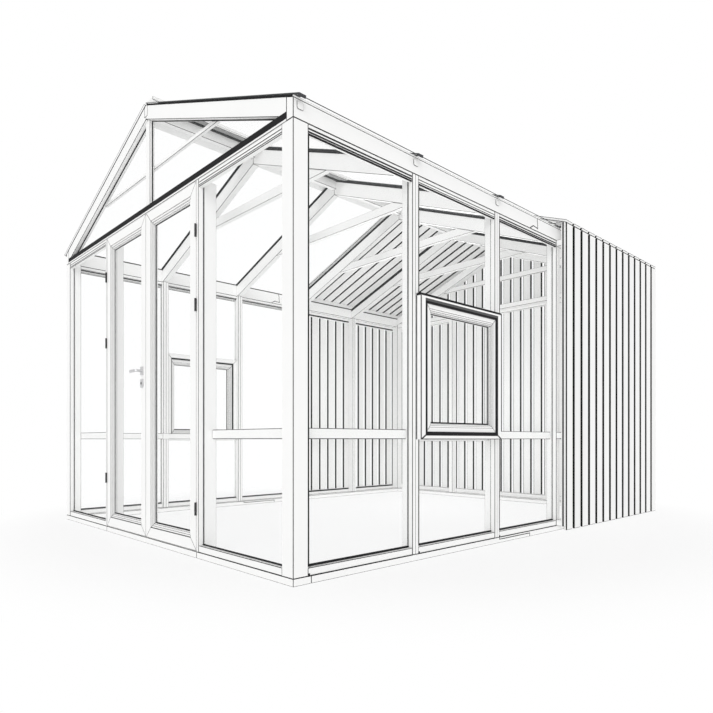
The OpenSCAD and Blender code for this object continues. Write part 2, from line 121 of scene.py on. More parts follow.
# powder coat on the metal frame: fine orange peel and a faint cloudiness
coat = {"light": (0.83, 0.83, 0.825), "dark": (0.775, 0.775, 0.77), "cloud": 0.45, "detail": 3.0,
        "peel": 0.0022, "bump": (0.08, 0.0004), "rough": (0.34, 0.14)}


def makeCoat():
    material, start, place = newMaterial("powderWhite")
    cloud = noise(start, place, coat["cloud"], coat["detail"])
    peel = noise(start, place, coat["peel"])
    least, spread = coat["rough"]
    surface(start, {"Base Color": tint(start, cloud, coat["dark"], coat["light"]),
                    "Roughness": least + spread * cloud, "Normal": bump(start, peel, *coat["bump"])})
    return material


# paint on the boards: each board its own tone, with fine brushed grain along it
boardPaint = {"light": (0.82, 0.82, 0.815), "dark": (0.735, 0.735, 0.73), "step": 0.123,
              "grain": 0.006, "detail": 3.0, "along": 0.04, "patch": 0.35, "shares": (0.35, 0.4, 0.25),
              "bump": (0.16, 0.0008), "rough": (0.5, 0.15)}


def makePaint(name, across, along):
    material, start, place = newMaterial(name)
    spot = start.add("ShaderNodeSeparateXYZ", None, {"Vector": place}, out=across)
    board = start.add("ShaderNodeMath", {"operation": "FLOOR"}, {0: spot / boardPaint["step"]})
    tone = start.add("ShaderNodeTexWhiteNoise", {"noise_dimensions": "1D"}, {"W": board}, out="Value")
    stretch = [boardPaint["along"] if axis in along else 1.0 for axis in "XYZ"]
    grain = noise(start, place, boardPaint["grain"], boardPaint["detail"], stretch)
    patch = noise(start, place, boardPaint["patch"])
    toneShare, patchShare, grainShare = boardPaint["shares"]
    mask = toneShare * tone + patchShare * patch + grainShare * grain
    least, spread = boardPaint["rough"]
    surface(start, {"Base Color": tint(start, mask, boardPaint["dark"], boardPaint["light"]),
                    "Roughness": least + spread * grain,
                    "Normal": bump(start, grain, *boardPaint["bump"])})
    return material


# one recipe for the painted shade, the rubber, the dark metal and the satin steel
mottling = {"detail": 3.0, "spread": 0.12, "depth": 0.0005}


def makeFinish(name, dark, light, size, rough, lift, shine=0.5, metal=0.0, stretch=(1, 1, 1)):
    material, start, place = newMaterial(name)
    mottle = noise(start, place, size, mottling["detail"], stretch)
    surface(start, {"Base Color": tint(start, mottle, dark, light), "Metallic": metal,
                    "Specular IOR Level": shine, "Roughness": rough + mottling["spread"] * mottle,
                    "Normal": bump(start, mottle, lift, mottling["depth"])})
    return material


# clear glass keeps one plain alpha, its cut edge is dark
panes = {"body": (0.88, 0.92, 0.915), "alpha": 0.02, "rough": 0.02,
         "edge": (0.03, 0.035, 0.035), "edgeAlpha": 1.0, "edgeRough": 0.2,
         "haze": 0.5, "spread": 0.02, "shine": 0.15, "bevel": 0.0005, "leastArea": 0.05}


def makeGlass(name, colour, alpha, rough):
    material, start, place = newMaterial(name)
    haze = noise(start, place, panes["haze"])
    surface(start, {"Base Color": (*colour, 1.0), "Roughness": rough + panes["spread"] * haze,
                    "Alpha": alpha, "Specular IOR Level": panes["shine"]})
    return material


powderWhite = makeCoat()
sidePaint = makePaint("sideBoardPaint", "Y", "Z")
backPaint = makePaint("backBoardPaint", "X", "Z")
roofPaint = makePaint("roofBoardPaint", "Y", "XZ")
# painted shade: a near-black finish on the board sides in the joints and on the board bevels
jointShade = makeFinish("boardJointPaintedShade", (0.006, 0.006, 0.006), (0.02, 0.02, 0.02),
                        size=0.01, rough=0.8, lift=0.1, shine=0.0)
# painted shade: a near-black finish for the bevels along the white members
edgeShade = makeFinish("edgePaintedShade", (0.025, 0.025, 0.026), (0.06, 0.06, 0.061),
                      size=0.012, rough=0.7, lift=0.08, shine=0.0)
# black rubber of the gaskets; the same finish also paints shade as dark strips on the frame and trims
rubberAndShade = makeFinish("sealRubberAndShade", (0.008, 0.008, 0.009), (0.02, 0.02, 0.021),
                    size=0.004, rough=0.62, lift=0.12, shine=0.08)
# painted shade: a mid-grey finish for the band above each sash, where the frame's reveal lies in shade
revealShadeGrey = makeFinish("revealPaintedShade", (0.07, 0.07, 0.071), (0.11, 0.11, 0.111),
                        size=0.004, rough=0.62, lift=0.12, shine=0.08)
darkBar = makeFinish("barCoat", (0.035, 0.036, 0.04), (0.06, 0.061, 0.066),
                     size=0.003, rough=0.38, lift=0.1, shine=0.2)
hingeCoat = makeFinish("hingeCoat", (0.012, 0.012, 0.013), (0.03, 0.03, 0.031),
                       size=0.003, rough=0.36, lift=0.08, metal=0.3)
satinSteel = makeFinish("satinSteel", (0.5, 0.5, 0.51), (0.66, 0.66, 0.665),
                        size=0.003, rough=0.26, lift=0.05, metal=0.85, stretch=(0.1, 1, 1))
clearGlass = makeGlass("clearGlass", panes["body"], panes["alpha"], panes["rough"])
glassEdge = makeGlass("glassEdge", panes["edge"], panes["edgeAlpha"], panes["edgeRough"])
lined = (powderWhite, edgeShade)  # the coat, and painted shade on the bevels along its edges
print("finishes ready:", len(bpy.data.materials))

squareOn = 0.9  # share of a normal that counts as facing along an axis
mergeGap = 0.00001
tiny = 0.0001  # points nearer than this share a place
flatAngle, sharpAngle, smoothAngle = [math.radians(angle) for angle in (1, 30, 35)]
darkSlot = 1  # a piece's second finish: painted shade on bevels and in grooves, and the dark cut edges of glass
sameSlot = -1  # a bevel with the finish of the faces beside it


def clearSelection():
    if bpy.context.mode != "OBJECT":
        bpy.ops.object.mode_set(mode="OBJECT")
    bpy.ops.object.select_all(action="DESELECT")


def takeUp(piece):  # the one selected and active object
    clearSelection()
    piece.select_set(True)
    bpy.context.view_layer.objects.active = piece


def selectOnly(kind, action="DESELECT"):  # sets the select mode, then all or nothing
    bpy.ops.mesh.select_mode(type=kind)
    bpy.ops.mesh.select_all(action=action)


def selectAll():
    selectOnly("FACE", "SELECT")


def openEdit(piece):  # edit mode with nothing selected
    takeUp(piece)
    bpy.ops.object.mode_set(mode="EDIT")
    selectOnly("FACE")


def pickFaces(piece, wanted, leastArea=0):  # wanted(centre, normal)
    selectOnly("FACE")
    shape = bmesh.from_edit_mesh(piece.data)
    for face in shape.faces:
        if face.calc_area() > leastArea and wanted(face.calc_center_median(), face.normal):
            face.select_set(True)
    bmesh.update_edit_mesh(piece.data)


def pickEdges(piece, wanted):  # wanted(one end, other end)
    selectOnly("EDGE")
    shape = bmesh.from_edit_mesh(piece.data)
    for edge in shape.edges:
        if wanted(edge.verts[0].co, edge.verts[1].co):
            edge.select_set(True)
    bmesh.update_edit_mesh(piece.data)


def bevelPicked(width, segments=1, finish=sameSlot):
    bpy.ops.mesh.bevel(offset=width, segments=segments, affect="EDGES", material=finish)


def roundSharp(width, segments=1, finish=sameSlot):  # every sharp edge of the piece in edit mode
    selectOnly("EDGE")
    bpy.ops.mesh.edges_select_sharp(sharpness=sharpAngle)
    bevelPicked(width, segments, finish)


def cutThrough(place, normal):  # new edges where a plane passes the piece in edit mode
    selectAll()
    bpy.ops.mesh.bisect(plane_co=place, plane_no=normal)


def pushOut(amount):  # the picked faces, along their normals
    bpy.ops.mesh.extrude_region_shrink_fatten(TRANSFORM_OT_shrink_fatten={"value": amount})


def pullOut(shift):  # the picked faces, by one shift
    bpy.ops.mesh.extrude_region_move(TRANSFORM_OT_translate={"value": shift})


def thickenForward(depth):  # flat faces become plates, towards the front
    selectAll()
    pullOut((0, -depth, 0))
    selectAll()
    bpy.ops.mesh.normals_make_consistent(inside=False)


def darken(piece):  # the picked faces take the second finish, the painted shade
    piece.active_material_index = darkSlot
    bpy.ops.object.material_slot_assign()


def sinkLine(piece, depth):  # the picked faces become a groove, painted dark as shade
    pushOut(-depth)
    darken(piece)


def giveFinishes(piece, *finishes):
    piece.data.materials.clear()
    for finish in finishes:
        piece.data.materials.append(finish)


def addBlock(name, low, high):
    clearSelection()
    bpy.ops.mesh.primitive_cube_add(size=1, location=[(a + b) / 2 for a, b in zip(low, high)])
    piece = bpy.context.active_object
    piece.name = name
    piece.scale = [b - a for a, b in zip(low, high)]
    bpy.ops.object.transform_apply(location=True, rotation=True, scale=True)
    return piece


def makeRing(name, low, high, axis, width):  # a flat block with its middle taken out
    ring = addBlock(name, low, high)
    openEdit(ring)
    pickFaces(ring, lambda centre, normal: abs(normal[axis]) > squareOn)
    bpy.ops.mesh.inset(thickness=width, use_individual=True)
    bpy.ops.mesh.bridge_edge_loops()
    return ring


def copyAt(piece, shift):
    takeUp(piece)
    bpy.ops.object.duplicate()
    twin = bpy.context.active_object
    bpy.ops.transform.translate(value=shift)
    bpy.ops.object.transform_apply(location=True, rotation=True, scale=True)
    return twin


def joinPieces(name, pieces):
    takeUp(pieces[0])
    for piece in pieces[1:]:
        piece.select_set(True)
    bpy.ops.object.join()
    pieces[0].name = name
    return pieces[0]


def dressedCopy(nodeName, name, width=0, segments=1, finishes=()):  # a merged copy with eased edges
    piece = bpy.data.objects.new(name, frame["nodes"][nodeName].data.copy())
    giveFinishes(piece, *finishes)
    bpy.context.scene.collection.objects.link(piece)
    openEdit(piece)
    selectAll()
    bpy.ops.mesh.remove_doubles(threshold=mergeGap)
    bpy.ops.mesh.dissolve_limited(angle_limit=flatAngle)
    if width:
        roundSharp(width, segments, darkSlot if len(finishes) > darkSlot else sameSlot)
    return piece


def finishPiece(piece, finish, slot, body, *nodes, smooth=False):
    takeUp(piece)
    if smooth:
        bpy.ops.object.shade_smooth_by_angle(angle=smoothAngle)
    else:
        bpy.ops.object.shade_flat()
    if not piece.data.materials:
        piece.data.materials.append(finish)
    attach(piece, body)
    if nodes:
        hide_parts(*nodes)


def camel(nodeName):
    first, *rest = nodeName.split("_")
    return first + "".join(word.capitalize() for word in rest)


def boxOf(points):
    return [min(p[a] for p in points) for a in range(3)], [max(p[a] for p in points) for a in range(3)]


def solidBoxes(nodeName):  # the low and high corner of each solid in a node
    mesh = frame["nodes"][nodeName].data
    points = [tuple(round(value, 5) for value in vertex.co) for vertex in mesh.vertices]
    chief = {point: point for point in points}

    def head(point):
        while chief[point] != point:
            point = chief[point]
        return point

    for polygon in mesh.polygons:
        first = head(points[polygon.vertices[0]])
        for index in polygon.vertices[1:]:
            chief[head(points[index])] = first
    groups = {}
    for point in chief:
        groups.setdefault(head(point), []).append(point)
    return sorted(boxOf(group) for group in groups.values())


def sideBox(nodeName, side):  # the box of a node's solids on one side of the house
    boxes = [box for box in solidBoxes(nodeName) if (box[0][0] + box[1][0]) * side > 0]
    return boxOf([corner for box in boxes for corner in box])


def wallSide(low):  # 1 at the right wall, -1 at the left
    return 1 if low[0] > 0 else -1


def innerPlate(low, high, thick):  # x range of a thin plate on the face towards the room
    side = wallSide(low)
    face = low[0] if side > 0 else high[0]
    return sorted((face, face - side * thick))


# straight frame members: the solids with softened edges
members = {"front_sill": 0.0025, "back_sill": 0.0025, "side_sills": 0.0025, "corner_posts": 0.003,
           "door_posts": 0.002, "back_posts": 0.003, "front_header": 0.0016, "eaves_beams": 0.003,
           "back_rails": 0.003, "end_rafters": 0.0025, "king_post": 0.002, "truss_rafters": 0.0025,
           "collar_ties": 0.002, "ridge_beam": 0.0025, "mid_rails": 0.0035, "wall_battens": 0.0025,
           "roof_battens": 0.002, "window_linings": 0.0016, "ridge_cap": 0.0018}

for nodeName, width in members.items():
    member = dressedCopy(nodeName, camel(nodeName), width, finishes=lined)
    finishPiece(member, powderWhite, "frame_white", "building", nodeName)
print("frame members dressed:", len(members))

# wall posts with a joint groove, painted dark as shade, down the middle of both broad faces
wallPost = {"edge": 0.003, "groove": 0.0035, "depth": 0.0006}


def makeWallPosts():
    boxes = solidBoxes("wall_posts")
    low, high = boxes[0]
    post = addBlock("wallPosts", low, high)
    giveFinishes(post, *lined)
    openEdit(post)
    roundSharp(wallPost["edge"], finish=darkSlot)
    middle, half = (low[1] + high[1]) / 2, wallPost["groove"] / 2
    for side in (-1, 1):
        cutThrough((0, middle + side * half, 0), (0, 1, 0))
    pickFaces(post, lambda centre, normal: abs(normal.x) > squareOn and abs(centre.y - middle) < half)
    sinkLine(post, wallPost["depth"])
    posts = [post]
    for other in boxes[1:]:
        posts.append(copyAt(post, [a - b for a, b in zip(other[0], low)]))
    finishPiece(joinPieces("wallPosts", posts), powderWhite, "frame_white", "building", "wall_posts")


makeWallPosts()
print("wall posts grooved")

# straps that tie the waist rails across the inner face of each wall post
strap = {"thick": 0.004, "lap": 0.004, "edge": 0.0016}


def makeStraps():
    railLow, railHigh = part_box("mid_rails")
    straps = []
    for low, high in solidBoxes("wall_posts"):
        near, far = innerPlate(low, high, strap["thick"])
        piece = addBlock("railStraps", (near, low[1] - strap["lap"], railLow[2]),
                         (far, high[1] + strap["lap"], railHigh[2]))
        giveFinishes(piece, *lined)
        openEdit(piece)
        pickEdges(piece, lambda a, b: abs(a.y - b.y) > strap["lap"])
        bevelPicked(strap["edge"], finish=darkSlot)
        straps.append(piece)
    finishPiece(joinPieces("railStraps", straps), powderWhite, "frame_white", "building")


makeStraps()

# glazing rails: grooves painted dark as shade between the ribs of the bead that clips on to the top rail
glazingRail = {"edge": 0.0028, "line": 0.0055, "broad": 0.0095, "depth": 0.0006, "ribs": (0.009, 0.024),
               "lowest": 1.5}


def beadFoot():  # underside of the beads along the eaves
    return min(low[2] for low, high in solidBoxes("glazing_rails") if low[2] > glazingRail["lowest"])


def makeGlazingRails():
    rails = dressedCopy("glazing_rails", "glazingRails", glazingRail["edge"], finishes=lined)
    levels = [beadFoot() + rib for rib in glazingRail["ribs"]]
    narrow, broad = glazingRail["line"] / 2, glazingRail["broad"] / 2
    windowLow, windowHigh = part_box("window_frames")
    for level in levels:
        for half in (-broad, -narrow, narrow, broad):
            cutThrough((0, 0, level + half), (0, 0, 1))

    def onLine(centre, normal):  # narrow at the front and over the windows
        onSide = normal.x * centre.x > squareOn
        half = broad if onSide and not windowLow[1] < centre.y < windowHigh[1] else narrow
        facing = onSide or normal.y < -squareOn
        return facing and any(abs(centre.z - level) < half for level in levels)

    pickFaces(rails, onLine)
    sinkLine(rails, glazingRail["depth"])
    finishPiece(rails, powderWhite, "frame_white", "building", "glazing_rails")


makeGlazingRails()
print("glazing rails dressed")


# glass: the solids again, with their cut edges in the dark finish
def makePane(nodeName, body):
    pane = dressedCopy(nodeName, camel(nodeName), panes["bevel"])
    takeUp(pane)
    giveFinishes(pane, clearGlass, glassEdge)
    for polygon in pane.data.polygons:
        polygon.material_index = 0 if polygon.area > panes["leastArea"] else darkSlot
    finishPiece(pane, clearGlass, "glass", body, nodeName)


for nodeName in ("side_glass", "front_glass", "gable_glass", "roof_glass", "window_glass"):
    makePane(nodeName, "building")
makePane("left_door_glass", "left_door")
makePane("right_door_glass", "right_door")
print("glass set in")

# black gaskets on both faces of the wall panes: thin at the sides, deeper along the rails
gasket = {"side": 0.003, "sideProud": 0.0014, "low": (0.009, 0.005), "top": 0.008, "proud": 0.005,
          "edge": 0.0006, "slip": 0.0004, "wholePane": 0.9, "atEnd": 0.01}


def addStrip(name, low, high):
    strip = addBlock(name, low, high)
    openEdit(strip)
    roundSharp(gasket["edge"])
    return strip


def paneGaskets(nodeName, axis):
    boxes = solidBoxes(nodeName)
    sill, head = min(low[2] for low, high in boxes), max(high[2] for low, high in boxes)
    made = []
    for low, high in boxes:
        for face, outward in ((low[axis], -1), (high[axis], 1)):
            lows, highs = list(low), list(high)
            lows[axis], highs[axis] = sorted((face, face + outward * gasket["sideProud"]))
            if high[2] - low[2] > gasket["wholePane"] * (head - sill):
                made.append(makeRing("paneGasket", lows, highs, axis, gasket["side"]))
                roundSharp(gasket["edge"])
            lows, highs = [a + gasket["slip"] for a in low], [a - gasket["slip"] for a in high]
            lows[axis], highs[axis] = sorted((face, face + outward * gasket["proud"]))
            if low[2] < sill + gasket["atEnd"]:
                top = low[2] + gasket["low"][axis]
                made.append(addStrip("lowGasket", lows, (highs[0], highs[1], top)))
            if high[2] > head - gasket["atEnd"]:
                foot = high[2] - gasket["top"]
                made.append(addStrip("topGasket", (lows[0], lows[1], foot), highs))
    return made


# lips under the eaves beads and behind the posts, and joints and end plugs along the sill
beadLip = {"near": 0.019, "far": 0.027, "drop": 0.003}
postLip = {"inner": 0.010, "outer": 0.001, "wide": 0.007, "foot": 0.082, "short": 0.002, "lastPost": 0.1}
sillLine = {"half": 0.003, "proud": 0.0006, "deep": 0.004, "highest": 0.2, "sideRail": 0.2}
railPlug = {"thick": 0.008, "proud": 0.0012, "beside": 0.0005, "above": 0.001, "size": 0.012}


def beadLips(under):
    made = []
    for low, high in solidBoxes("side_glass"):
        if high[2] > under:
            side = wallSide(low)
            face = high[0] if side > 0 else low[0]
            near, far = sorted(face + side * beadLip[end] for end in ("near", "far"))
            made.append(addStrip("beadLip", (near, low[1], under - beadLip["drop"]),
                                 (far, high[1], under)))
    return made


def postLips(under, wall):  # upright lips behind the posts of the glazed bays
    made = []
    for low, high in solidBoxes("wall_posts") + solidBoxes("corner_posts"):
        if high[1] < postLip["lastPost"]:
            side = wallSide(low)
            near, far = sorted(side * (wall - postLip[end]) for end in ("inner", "outer"))
            made.append(addStrip("postLip", (near, high[1], postLip["foot"]),
                                 (far, high[1] + postLip["wide"], under - postLip["short"])))
    return made


def sillLines(wall):  # joint lines on the sill, and end plugs beside the posts of the side walls
    made = []
    for low, high in solidBoxes("glazing_rails"):
        if high[2] > sillLine["highest"]:
            continue
        side, half = wallSide(low), sillLine["half"]
        onSide = high[1] - low[1] > sillLine["sideRail"]
        lows = [low[0], low[1] - sillLine["proud"], low[2] - half]
        highs = [high[0], low[1] + sillLine["deep"], low[2] + half]
        if onSide:
            lows[1], highs[1] = low[1], high[1]
            lows[0], highs[0] = sorted((side * (wall - sillLine["deep"]),
                                        side * (wall + sillLine["proud"])))
        made.append(addStrip("jointLine", lows, highs))
        if onSide:
            face = high[0] if side > 0 else low[0]
            near, far = sorted((face, face - side * railPlug["thick"]))
            proud, size = side * railPlug["proud"], railPlug["size"]
            made.append(addStrip("railPlug",
                                 (near + proud, low[1] + railPlug["beside"], low[2] + railPlug["above"]),
                                 (far + proud, low[1] + size, low[2] + size)))
    return made


def makeGaskets():
    under, wall = beadFoot(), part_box("wall_posts")[1][0]
    made = paneGaskets("side_glass", 0) + paneGaskets("front_glass", 1)
    made += beadLips(under) + postLips(under, wall) + sillLines(wall)
    finishPiece(joinPieces("paneGaskets", made), rubberAndShade, "seal_black", "building")


makeGaskets()

# gaskets round the gable panes
gableGasket = {"width": 0.005, "proud": 0.004}


def makeGableGaskets():
    piece = dressedCopy("gable_glass", "gableGaskets")
    pickFaces(piece, lambda centre, normal: normal.y > -squareOn)
    bpy.ops.mesh.delete(type="FACE")
    selectAll()
    bpy.ops.mesh.inset(thickness=gableGasket["width"], use_individual=True)
    bpy.ops.mesh.delete(type="FACE")
    thickenForward(gableGasket["proud"])
    finishPiece(piece, rubberAndShade, "seal_black", "building")


makeGableGaskets()

# the seal strips stand out a little at both sides of the rafters, and a lip laps the front header
sealStrip = {"out": 0.009, "leastArea": 0.004, "behind": 0.03, "long": 2}
headerLip = {"below": 0.007, "above": 0.003, "lap": 0.001}


def makeSeals():
    seals = dressedCopy("seals", "sealStrips")
    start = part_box("end_rafters")[0][1] + sealStrip["behind"]
    pickFaces(seals, lambda centre, normal: abs(normal.y) > squareOn and centre.y > start,
              sealStrip["leastArea"])
    pushOut(sealStrip["out"])
    finishPiece(seals, rubberAndShade, "seal_black", "building", "seals")
    low, high = next(box for box in solidBoxes("seals") if box[1][0] - box[0][0] > sealStrip["long"])
    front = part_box("front_header")[0][1] - headerLip["lap"]
    band = addStrip("headerLip", (low[0], front, low[2] - headerLip["below"]),
                    (high[0], low[1] + headerLip["lap"], high[2] + headerLip["above"]))
    finishPiece(band, rubberAndShade, "seal_black", "building")


makeSeals()

# painted shade: dark strips along the top of the rafters, broader under the roof boards,
# and in the clad bays along the eaves beams and the lowest and highest side battens
shadeTape = {"glazed": 0.008, "clad": 0.028, "thick": 0.0015, "eaves": 0.012, "batten": 0.016,
        "past": 0.1, "sideLength": 1, "waist": (0.5, 1)}


def makeShadeTapes():
    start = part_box("right_roof_boards")[0][1]
    shadeTapes = dressedCopy("truss_rafters", "frameTapes")
    tops = {}  # the largest top face on each slope
    for face in sorted(bmesh.from_edit_mesh(shadeTapes.data).faces, key=lambda face: face.calc_area()):
        if face.normal.z > squareOn:
            tops[face.normal.x > 0] = (face.calc_center_median(), face.normal.copy())
    pickFaces(shadeTapes, lambda centre, normal: normal.y > -squareOn)
    bpy.ops.mesh.delete(type="FACE")
    for rightward, (place, normal) in tops.items():
        for clad, drop in ((False, shadeTape["glazed"]), (True, shadeTape["clad"])):
            wanted = (rightward, clad)
            pickFaces(shadeTapes, lambda centre, facing: (centre.x > 0, centre.y > start) == wanted)
            bpy.ops.mesh.bisect(plane_co=place - normal * drop, plane_no=normal, clear_inner=True)
    thickenForward(shadeTape["thick"])
    strips = [shadeTapes]
    for low, high in solidBoxes("eaves_beams"):
        if high[1] > start + shadeTape["past"]:
            near, far = innerPlate(low, high, shadeTape["thick"])
            strips.append(addStrip("frameTapes", (near, max(low[1], start), high[2] - shadeTape["eaves"]),
                                   (far, high[1], high[2])))
    lowWaist, highWaist = shadeTape["waist"]
    for low, high in solidBoxes("wall_battens"):
        if high[1] - low[1] > shadeTape["sideLength"] and not lowWaist < low[2] < highWaist:
            near, far = innerPlate(low, high, shadeTape["thick"])
            foot = high[2] - shadeTape["batten"] if low[2] < lowWaist else low[2]
            strips.append(addStrip("frameTapes", (near, low[1], foot),
                                   (far, high[1], foot + shadeTape["batten"])))
    finishPiece(joinPieces("frameTapes", strips), rubberAndShade, "seal_black", "building")


makeShadeTapes()
print("gaskets and seals in")


# a mitred frame: both faces stepped down in beads to the pane, and the middle open
def makeSteppedFrame(name, low, high, axis, steps, edge):
    leaf = addBlock(name, low, high)
    giveFinishes(leaf, *lined)
    openEdit(leaf)
    centre = [(a + b) / 2 for a, b in zip(low, high)]
    flat = [a for a in range(3) if a != axis]
    for side in (-1, 1):
        pickFaces(leaf, lambda place, normal: normal[axis] * side > squareOn)
        for width, depth in steps:
            bpy.ops.mesh.inset(thickness=width)
            if depth:
                pullOut([-side * depth if a == axis else 0 for a in range(3)])

    def inMiddle(place, normal):
        return abs(normal[axis]) > squareOn and all(abs(place[a] - centre[a]) < tiny for a in flat)

    pickFaces(leaf, inMiddle)
    bpy.ops.mesh.bridge_edge_loops()
    # the sharp edges get bevels in the painted shade finish
    roundSharp(edge, finish=darkSlot)
    return leaf


# mitre grooves: how far they reach, in frame widths, and how many times as wide as deep they are
mitre = {"reach": 1.5, "lean": 0.3, "widthToDepth": 6}


def scoreMitres(leaf, low, high, axis, wide, groove):  # a groove across each corner, painted dark as shade
    flat = [a for a in range(3) if a != axis]
    for first in (0, 1):
        for second in (0, 1):
            corner = Vector(low)
            corner[flat[0]] = (low, high)[first][flat[0]]
            corner[flat[1]] = (low, high)[second][flat[1]]
            across = Vector((0, 0, 0))
            across[flat[0]] = 1
            across[flat[1]] = -1 if first == second else 1
            across.normalize()
            for side in (-1, 1):
                cutThrough(corner + across * side * groove / 2, across)

            def inGroove(place, normal):
                away = place - corner
                away[axis] = 0
                near = abs(away.dot(across)) < groove / 2 and away.length < wide * mitre["reach"]
                return near and abs(normal[axis]) > mitre["lean"]

            pickFaces(leaf, inGroove)
            sinkLine(leaf, groove / mitre["widthToDepth"])


ringEdge = 0.0008  # softened edge of the gaskets in door leaves and sashes


def ringAndFoot(name, low, high, axis, width, foot):  # a gasket, deeper along the bottom
    ring = makeRing(name, low, high, axis, width)
    roundSharp(ringEdge)
    return [ring, addStrip(name, low, (high[0], high[1], low[2] + foot))]


# door leaves: flat stile, two clip-on beads, gasket at the pane, drip line on the lower bead
door = {"steps": [(0.064, 0.004), (0.013, 0.005), (0.011, 0.006), (0.007, 0.0)], "edge": 0.0009,
        "mitre": 0.0036, "gasket": 0.002, "thick": 0.002, "low": 0.006, "drip": 0.004, "dripProud": 0.001}


def makeDoor(side):
    body = side + "_door"
    low, high = [list(corner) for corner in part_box(body + "_frame")]
    stile = sum(width for width, depth in door["steps"])
    leaf = makeSteppedFrame(side + "DoorFrame", low, high, 1, door["steps"], door["edge"])
    scoreMitres(leaf, low, high, 1, stile, door["mitre"])
    finishPiece(leaf, powderWhite, "frame_white", body, body + "_frame")
    paneLow, paneHigh = [list(corner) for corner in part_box(body + "_glass")]
    made = []
    for front in (paneLow[1] - door["thick"], paneHigh[1]):
        made += ringAndFoot("doorGasket", (low[0] + stile, front, low[2] + stile),
                            (high[0] - stile, front + door["thick"], high[2] - stile),
                            1, door["gasket"], door["low"])
    inset, sink = door["steps"][0]
    proud = door["dripProud"]
    for face in (low[1] + sink, high[1] - sink):
        made.append(addStrip("doorGasket", (low[0] + inset, face - proud, low[2] + inset),
                             (high[0] - inset, face + proud, low[2] + inset + door["drip"])))
    finishPiece(joinPieces(side + "DoorGaskets", made), rubberAndShade, "seal_black", body)


for side in ("left", "right"):
    makeDoor(side)
print("door leaves made")

# frames of the two side windows, with a broad bevel of painted shade round the front face
windowFrame = {"edge": 0.0045, "behind": 0.0005}


def makeWindowFrames():
    frames = dressedCopy("window_frames", "windowFrames", finishes=lined)
    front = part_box("window_frames")[1][0] - windowFrame["behind"]
    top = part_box("window_sashes")[1][2]
    pickEdges(frames, lambda a, b: min(abs(a.x), abs(b.x)) > front and min(a.z, b.z) < top)
    bevelPicked(windowFrame["edge"], finish=darkSlot)
    finishPiece(frames, powderWhite, "frame_white", "building", "window_frames")


makeWindowFrames()

# sashes of the two side windows, with the same kind of beads as the doors
sash = {"steps": [(0.025, 0.003), (0.010, 0.004), (0.008, 0.004), (0.004, 0.0)], "edge": 0.0009,
        "mitre": 0.0034, "gasket": 0.003, "thick": 0.004, "low": 0.008}


def makeSashes():
    leaves, rings = [], []
    wide = sum(width for width, depth in sash["steps"])
    for side in (-1, 1):
        low, high = sideBox("window_sashes", side)
        leaf = makeSteppedFrame("windowSashes", low, high, 0, sash["steps"], sash["edge"])
        scoreMitres(leaf, low, high, 0, wide, sash["mitre"])
        leaves.append(leaf)
        paneLow, paneHigh = sideBox("window_glass", side)
        for face in (paneLow[0] - sash["thick"], paneHigh[0]):
            rings += ringAndFoot("sashGasket", (face, low[1] + wide, low[2] + wide),
                                 (face + sash["thick"], high[1] - wide, high[2] - wide),
                                 0, sash["gasket"], sash["low"])
    finishPiece(joinPieces("windowSashes", leaves), powderWhite, "frame_white", "building",
                "window_sashes")
    finishPiece(joinPieces("sashGaskets", rings), rubberAndShade, "seal_black", "building")


makeSashes()

# rubber lips that stand between each window frame and its sash, and between the frame and the posts
lip = {"side": 0.013, "low": 0.017, "head": 0.012, "cover": 0.014, "behind": 0.0005, "deep": 0.006,
       "foot": 0.006, "wall": 0.002}


def makeLips():
    dark, pale = [], []
    for side in (-1, 1):
        low, high = sideBox("window_frames", side)
        inLow, inHigh = sideBox("window_sashes", side)
        front = high[0] - lip["behind"] if side > 0 else low[0] + lip["behind"]
        near, far = sorted((front, front - side * lip["deep"]))
        left, right = inLow[1] - lip["side"], inHigh[1] + lip["side"]
        foot, top = inLow[2] - lip["low"], inHigh[2] + lip["head"]
        dark.append(addStrip("sashLips", (near, left, foot), (far, inLow[1], top)))
        dark.append(addStrip("sashLips", (near, inHigh[1], foot), (far, right, top)))
        dark.append(addStrip("sashLips", (near, inLow[1], foot), (far, inHigh[1], inLow[2])))
        dark.append(addStrip("sashLips", (near, inLow[1], inHigh[2]), (far, inHigh[1], top)))
        # painted shade: a grey band above the sash stands for the frame's reveal in shade
        pale.append(addStrip("sashHeadShade", (near, left, top), (far, right, top + lip["cover"])))
        wall = low[0] if side > 0 else high[0]
        near, far = sorted((wall, wall + side * lip["foot"]))
        for place in (low[1] - lip["wall"], high[1]):
            dark.append(addStrip("frameLips", (near, place, low[2]), (far, place + lip["wall"], high[2])))
    finishPiece(joinPieces("sashLips", dark), rubberAndShade, "seal_black", "building")
    finishPiece(joinPieces("sashHeadShade", pale), revealShadeGrey, "seal_black", "building")


makeLips()

# mitred surrounds on the inner side of the window linings, with a rubber edge towards the sash
surround = {"width": 0.038, "thick": 0.004, "lip": 0.005, "mitre": 0.0034, "edge": 0.0012,
            "below": 0.010, "slit": 0.0005}


def makeSurrounds():
    covers, edges = [], []
    inset = surround["width"]
    for side in (-1, 1):
        low, high = sideBox("window_linings", side)
        near, far = innerPlate(low, high, surround["thick"])
        lows = [near, low[1] + surround["slit"], low[2] - surround["below"]]
        highs = [far, high[1] - surround["slit"], high[2] - surround["slit"]]
        cover = makeRing("windowSurrounds", lows, highs, 0, inset)
        giveFinishes(cover, *lined)
        roundSharp(surround["edge"], finish=darkSlot)
        scoreMitres(cover, lows, highs, 0, inset, surround["mitre"])
        covers.append(cover)
        edges.append(makeRing("surroundLips", (near, lows[1] + inset, lows[2] + inset),
                              (far, highs[1] - inset, highs[2] - inset), 0, surround["lip"]))
    finishPiece(joinPieces("windowSurrounds", covers), powderWhite, "frame_white", "building")
    finishPiece(joinPieces("surroundLips", edges), rubberAndShade, "seal_black", "building")


